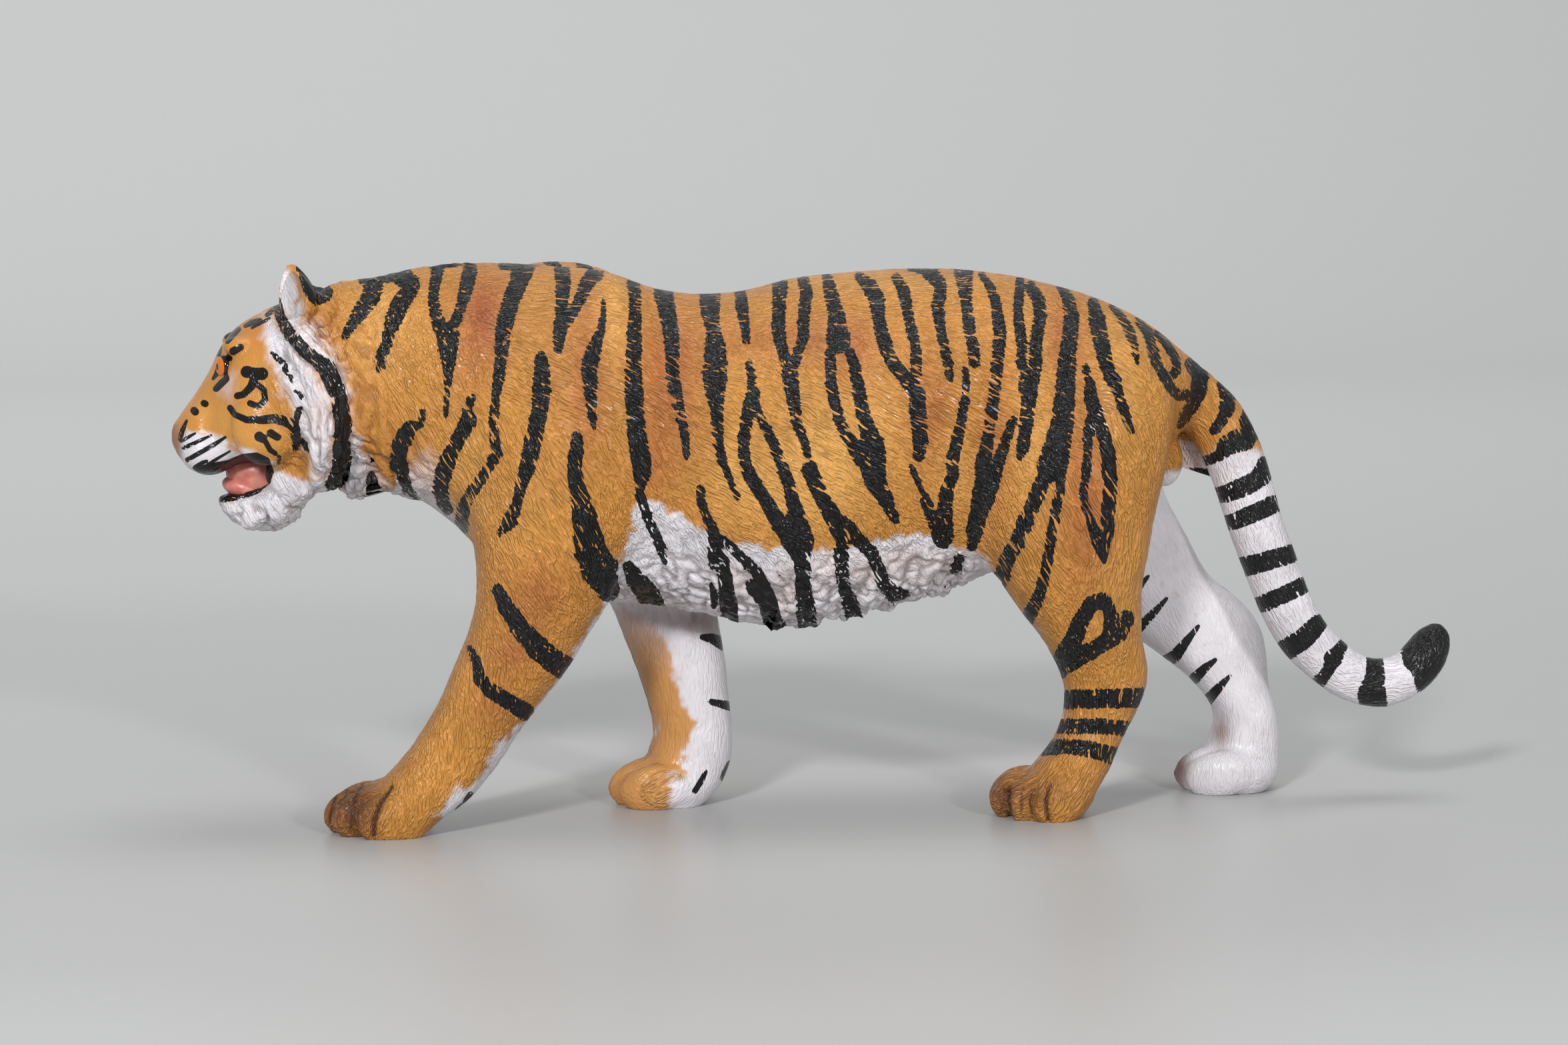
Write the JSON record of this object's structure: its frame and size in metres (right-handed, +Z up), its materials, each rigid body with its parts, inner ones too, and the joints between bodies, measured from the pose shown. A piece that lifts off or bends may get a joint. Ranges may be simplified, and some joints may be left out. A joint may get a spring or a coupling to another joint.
{
  "type": "tiger figurine",
  "caption": "Walking tiger with its head forward, mouth open and tail hanging in a curl, one solid moulding that stands on four paws.",
  "frame": {"origin": "on the floor under the middle of the figure's box, at the height of the soles", "axes": "the tiger faces -X with its tail towards +X, its left side is towards -Y, and +Z is up from the soles to the back"},
  "size_m": [0.132, 0.0302, 0.0565],
  "materials": {
    "painted_coat": "hand-painted satin coat on moulded vinyl: ochre orange with red-brown patches, white underparts and black stripes"
  },
  "bodies": {
    "root": {"tiger": "painted_coat"}
  },
  "joints": []
}
